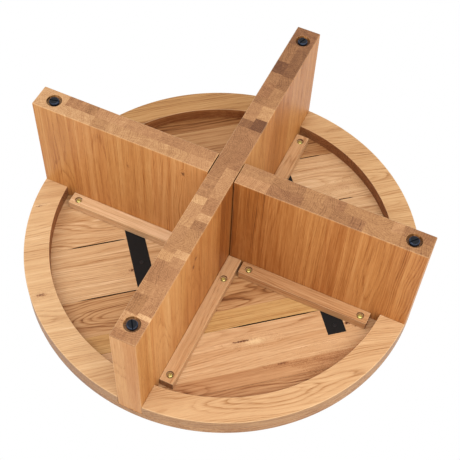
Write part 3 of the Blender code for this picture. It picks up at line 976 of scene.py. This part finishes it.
def make_cleats(material):
    for arm, degrees in ARMS.items():
        for side in "ab":
            node = f"cleat_{arm}_{side}"
            lower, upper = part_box(node)
            bm = bmesh.new()
            for which in ("inner", "outer"):
                screw = f"cleat_screw_{arm}_{side}_{which}"
                centre = centre_of(screw)
                outline = [
                    (0, upper.z + PAST), (CLEAT_HOLE_R, upper.z + PAST),
                    (CLEAT_HOLE_R, lower.z + SINK_DEPTH), (SINK_R, lower.z + SINK_DEPTH),
                    (SINK_R, lower.z + SINK_EASE), (SINK_R + SINK_EASE, lower.z - 0.0001),
                    (SINK_R + SINK_EASE, lower.z - PAST), (0, lower.z - PAST),
                ]
                revolve(outline, 40, centre, bm)
            mesh = carved(rounded_box(lower, upper, CLEAT_ROUND), bm)
            luck = random.Random(node)
            along = Vector((math.cos(math.radians(degrees)), math.sin(math.radians(degrees)), 0))
            across = UP.cross(along)
            heart = (luck.uniform(0, 9), luck.uniform(-0.06, 0.06), luck.uniform(0.03, 0.08))
            log = log_matrix(along, across, (lower + upper) / 2, heart)
            tone = CLEAT_TONES[arm] + luck.uniform(-0.04, 0.04)

            def describe(centre, normal, log=log, tone=tone, along=along, across=across):
                end = abs(normal.dot(along))
                mark = 0.0
                # Eased edges get a painted highlight, and the screw holes' walls get painted shade.
                if is_edge(normal, (UP, along, across)):
                    mark = CLEAT_EDGE_HIGHLIGHT
                if centre.z > lower.z + 0.0006 and end < 0.999 and abs(normal.dot(across)) < 0.999:
                    mark = CLEAT_SINK_SHADE if -0.5 < normal.z < 0.5 else mark
                return log, (tone - 0.1 * end, 0.15, 0.7), (mark, end * end, 0)

            grained(mesh, describe)
            piece(f"corner_{node}", mesh, material, [node])


def cross_cutter(depth, reach, width):
    """A tapered cross that stands through a screw head's face, wider outside than inside."""
    bm = bmesh.new()
    rings = []
    for height, share in ((-depth, 1.0), (0.0, 1.0), (depth, 0.45)):
        arm, half = reach / 2 * share, width / 2 * share
        corner = half * 1.9
        ring = []
        for turn in range(4):
            spin = Matrix.Rotation(turn * math.pi / 2, 3, "Z")
            for x, y in ((arm, -half), (arm, half), (corner, half), (half, corner)):
                ring.append(spin @ Vector((x, y, height)))
        rings.append(ring)
    skin(bm, rings)
    return bm


def pan_screw_mesh():
    """A pan-head wood screw, head down, with the head's face at z = 0."""
    head, shank, rise = 0.0053, 0.0025, 0.0030
    tip = high(CLEAT_SCREWS[0], 2) - low(CLEAT_SCREWS[0], 2)
    outline = [(0, 0), (0.0016, 0.00003), (0.0028, 0.00022), (0.0038, 0.0006), (0.0046, 0.0012)]
    outline += [(0.0051, 0.0020), (head, 0.0026), (head, rise), (shank, rise)]
    turns = 11
    start, pitch = rise + 0.006, (tip - rise - 0.010) / turns
    for turn in range(turns):
        level = start + pitch * turn
        outline += [(shank * 0.78, level), (shank, level + pitch * 0.45)]
    outline += [(shank * 0.75, tip - 0.004), (0, tip)]
    return carved(revolve(outline, 32), cross_cutter(0.0016, 0.0058, 0.0013))


def flat_screw_mesh():
    """A countersunk screw for the bars, head down."""
    lower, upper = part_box(BAR_SCREWS[0])
    head, shank = (upper.x - lower.x) / 2, 0.002
    tip = upper.z - lower.z
    outline = [
        (0, 0), (head - 0.0003, 0), (head, 0.0003), (shank, 0.0022), (shank, tip - 0.003), (0, tip)
    ]
    return carved(revolve(outline, 32), cross_cutter(0.0012, 0.0046, 0.0011))


def make_screws(zinc, black):
    for nodes, pattern, material, slot in (
        (CLEAT_SCREWS, pan_screw_mesh(), zinc, "yellow_zinc"),
        (BAR_SCREWS, flat_screw_mesh(), black, "black_zinc"),
    ):
        for node in nodes:
            luck = random.Random(node)
            mesh = pattern.copy()
            mesh.transform(Matrix.Rotation(luck.uniform(0, math.pi), 4, "Z"))
            mesh.transform(Matrix.Translation((*centre_of(node), low(node, 2))))
            mesh.attributes.new("edge", "FLOAT_VECTOR", "CORNER")
            piece(f"driven_{node}", mesh, material, [node])


# ---- bars and glides


BAR_ROUND = 0.0007
BAR_CORNER_R = 0.002
WORN_EDGE = 0.5
# A painted sheen on the glides' bevels, and painted shade in their slots.
DISC_EDGE_SHEEN = 0.6
SLOT_SHADE = -1.0
SLOT_DEPTH = 0.0016
SLOT_W = (0.0020, 0.0024)  # at its floor and at its mouth


def make_bars(material):
    turn = Matrix.Rotation(PLANK_ANGLE, 4, "Z")
    for name, (lower, upper) in bar_boxes().items():
        bm = bmesh.new()
        add_box(bm, lower, upper)
        upright = [e for e in bm.edges if abs(e.verts[0].co.z - e.verts[1].co.z) > 0.001]
        ease_edges(bm, upright, BAR_CORNER_R, 4)
        flat = [f for f in bm.faces if abs(f.normal.z) > 0.9]
        ease_edges(bm, list({e for f in flat for e in f.edges}), BAR_ROUND, 2)
        holes = bmesh.new()
        for node in BAR_SCREWS:
            if f"_{name}_" not in node:
                continue
            place = Matrix.Rotation(-PLANK_ANGLE, 2) @ Vector(centre_of(node))
            level = lower.z
            outline = [
                (0, level - 0.001), (0.0048, level - 0.001), (0.0044, level + 0.0001),
                (0.0024, level + 0.0025), (0.0024, level + 0.008), (0, level + 0.008),
            ]
            revolve(outline, 32, place, holes)
        mesh = carved(bm, holes)
        axes = (UP, Vector((1, 0, 0)), Vector((0, 1, 0)))
        mark_faces(mesh, lambda face: WORN_EDGE if is_edge(face.normal, axes, 0.999) else 0.0)
        mesh.transform(turn)
        piece(f"flat_bar_{name}", mesh, material, [f"steel_bar_{name}"])


def make_glides(material):
    for arm, turn in SLOT_TURNS.items():
        node = f"glide_disc_{arm}"
        lower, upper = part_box(node)
        centre = centre_of(node)
        radius = (upper.x - lower.x) / 2
        outline = [(0, lower.z), (radius - 0.0021, lower.z)]
        outline += fillet((radius - 0.0021, lower.z + 0.0016), 0.0016, -90, -35, 4)[1:]
        outline += fillet((radius - 0.0006, lower.z + 0.0022), 0.0006, -30, 0, 3)
        outline += [(radius, upper.z - 0.0006), (radius - 0.0006, upper.z), (0, upper.z)]
        hole = bmesh.new()
        made = bmesh.ops.create_cube(hole, size=1)["verts"]
        for vert in made:
            vert.co.x *= 2.4 * radius
            vert.co.y *= SLOT_W[0] if vert.co.z > 0 else SLOT_W[1]
            vert.co.z = lower.z + (SLOT_DEPTH if vert.co.z > 0 else -0.001)
        bmesh.ops.rotate(hole, verts=made, matrix=Matrix.Rotation(math.radians(turn), 3, "Z"))
        bmesh.ops.translate(hole, verts=made, vec=(*centre, 0))
        socket = bmesh.new()
        start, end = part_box(f"glide_stud_{arm}")
        stud_r = (end.x - start.x) / 2
        add_cylinder(socket, stud_r + GAP, start.z - GAP, upper.z + PAST, centre, 32)
        mesh = carved(revolve(outline, 56, centre), hole, socket)

        def mark_of(face, lower=lower, centre=centre, radius=radius):
            # The bevels facing down get a painted sheen, and the slot gets painted shade.
            if 0.2 < -face.normal.z < 0.97:
                return DISC_EDGE_SHEEN
            inner = (face.center.xy - Vector(centre)).length < radius - 0.0004
            return SLOT_SHADE if inner and 0.0001 < face.center.z - lower.z < 0.002 else 0.0

        mark_faces(mesh, mark_of)
        piece(f"glide_{arm}", mesh, material, [node], f"glide_{arm}_disc")


# ---- CAD nodes that stay


def finish_kept(prefix, material):
    for name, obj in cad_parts.items():
        if name.startswith(prefix):
            for slot in obj.material_slots:
                slot.material = material


# ---- stage


def aimed(at, target, roll=0.0):
    line = Vector(target) - Vector(at)
    turn = line.to_track_quat("-Z", "Y").to_matrix().to_4x4()
    return Matrix.Translation(at) @ turn @ Matrix.Rotation(math.radians(roll), 4, "Z")


def make_camera():
    data = bpy.data.cameras.new("camera")
    data.lens = CAMERA_LENS
    data.clip_start, data.clip_end = CAMERA_CLIP
    camera = linked("camera", data)
    camera.matrix_world = aimed(CAMERA_AT, CAMERA_AIM, CAMERA_ROLL)
    bpy.context.scene.camera = camera


def make_floor():
    """A pale floor that fades out. It is clear from below and takes no part in the table's light."""
    bm = bmesh.new()
    bmesh.ops.create_circle(bm, cap_ends=True, segments=96, radius=FLOOR_R)
    floor = linked("floor", mesh_of(bm, "floor"))
    g = Graph("pale_floor")
    g.tree.nodes.remove(g.shader)
    side = g.node("ShaderNodeNewGeometry").outputs["Backfacing"]
    matt = g.feed(g.node("ShaderNodeBsdfDiffuse"), FLOOR_PAINT)
    glow = g.feed(g.node("ShaderNodeEmission"), (1, 1, 1, 1), BACKDROP_WHITE)
    clear = g.node("ShaderNodeBsdfTransparent").outputs[0]
    far = g.fit(g.vector("LENGTH", g.place()), *FLOOR_FADE)
    faded = g.feed(g.node("ShaderNodeMixShader"), far, matt, glow)
    either = g.feed(g.node("ShaderNodeMixShader"), side, faded, clear)
    g.wire(either, g.tree.nodes["Material Output"].inputs[0])
    floor.data.materials.append(g.material)
    floor.visible_shadow = False
    floor.visible_diffuse = False
    floor.visible_glossy = False


def make_light():
    world = bpy.data.worlds.new("studio")
    bpy.context.scene.world = world
    world.use_nodes = True
    background = world.node_tree.nodes["Background"]
    background.inputs[0].default_value = (1, 1, 1, 1)
    background.inputs[1].default_value = BACKDROP_WHITE
    for name, (at, size, power) in LAMPS.items():
        data = bpy.data.lights.new(name, "AREA")
        data.shape = "SQUARE"
        data.size = size
        data.energy = power
        light = linked(name, data)
        light.matrix_world = aimed(at, LAMP_AIM)
        light.visible_camera = False
    bpy.context.scene.view_settings.view_transform = "Standard"


# ---- knots


def knots_along(height, *rows):
    """Knots on a level: mm along and across the planks, size, and darkness. Below zero is pale."""
    return [
        (tuple(on_planks(along * MM, across * MM, height)), PLANK_ANGLE, size, shade)
        for along, across, size, shade in rows
    ]


def knots_of_top():
    return knots_along(
        Z_UNDER,
        (16, -221, (0.034, 0.0034, 0.006), 1.2),
        (-8, -226, (0.032, 0.0110, 0.006), -0.60),
        (-47, -284, (0.024, 0.0050, 0.006), 0.8),
        (190, -15, (0.014, 0.0090, 0.006), 0.9),
        (-195, -228, (0.010, 0.0065, 0.006), 1.4),
        (-210, -238, (0.005, 0.0030, 0.006), 0.7),
        (-140, -290, (0.050, 0.0200, 0.006), 0.30),
        (-292, 95, (0.030, 0.0120, 0.006), 0.30),
    )


def knots_of_rim():
    return knots_along(
        Z_RING,
        (376, -49.6, (0.020, 0.0080, 0.009), 0.78),
        (349, 163, (0.014, 0.0026, 0.005), 0.9),
        (-339, -69, (0.034, 0.0030, 0.005), 0.7),
    )


def knots_of_boards():
    """Their length runs across the board, their width through it, and their depth along the grain."""
    side = BOARD_T / 2
    return (
        ((0.187, -side, 0.060), 0, (0.010, 0.006, 0.016), 0.9),
        ((0.178, -side, 0.044), 0, (0.011, 0.006, 0.012), 0.8),
        ((side, 0.077, 0.036), math.pi / 2, (0.007, 0.004, 0.008), 1.1),
        ((side, 0.196, 0.079), math.pi / 2, (0.006, 0.004, 0.008), 0.7),
        ((-0.345, -side, 0.190), 0, (0.006, 0.003, 0.014), 0.60),
    )


def main():
    top = oak("oak_top_finish", TOP_SHADES, knots=knots_of_top())
    rim = oak("oak_rim_finish", RIM_SHADES, figure=0.85, lines=0.8, knots=knots_of_rim())
    board = oak(
        "oak_board_finish", BOARD_SHADES, figure=0.50, lines=0.60, bands=0.62,
        knots=knots_of_boards(),
    )
    cleat = oak("oak_cleat_finish", TOP_SHADES, figure=0.6, level=0.06, lines=0.8)
    steel = speckled(
        "black_powder_coat", paint(8, 7, 7), paint(15, 13, 13), 0.0, 0.72, 2600,
        wear_and_sheen=paint(40, 39, 38), shine=0.30,
    )
    zinc = speckled(
        "yellow_zinc_plate", paint(214, 218, 110), paint(206, 176, 120), 0.65, 0.30, 1500,
        wear_and_sheen=paint(226, 222, 190),
    )
    black = speckled("black_zinc_plate", paint(30, 30, 32), paint(54, 54, 56), 0.7, 0.4, 2000)
    # The bluish edge colour is a painted sheen on the discs' bevels.
    plastic = speckled(
        "black_nylon", paint(11, 13, 17), paint(20, 23, 30), 0.0, 0.34, 1800,
        wear_and_sheen=paint(62, 74, 96), shine=0.20,
    )
    brass = speckled("insert_zinc_brass", paint(176, 142, 78), paint(128, 98, 54), 0.9, 0.36, 1700)
    bright = speckled(
        "stud_bright_steel", paint(170, 170, 172), paint(120, 118, 116), 1.0, 0.3, 1600
    )
    beech = speckled("beech_dowel_finish", paint(214, 172, 124), paint(186, 138, 92), 0.0, 0.6, 900)
    make_planks(top)
    make_rim(rim)
    make_boards(board)
    make_cleats(cleat)
    make_screws(zinc, black)
    make_bars(steel)
    make_glides(plastic)
    finish_kept("insert_", brass)
    finish_kept("glide_stud_", bright)
    finish_kept("dowel_", beech)
    make_floor()
    make_light()
    make_camera()


main()
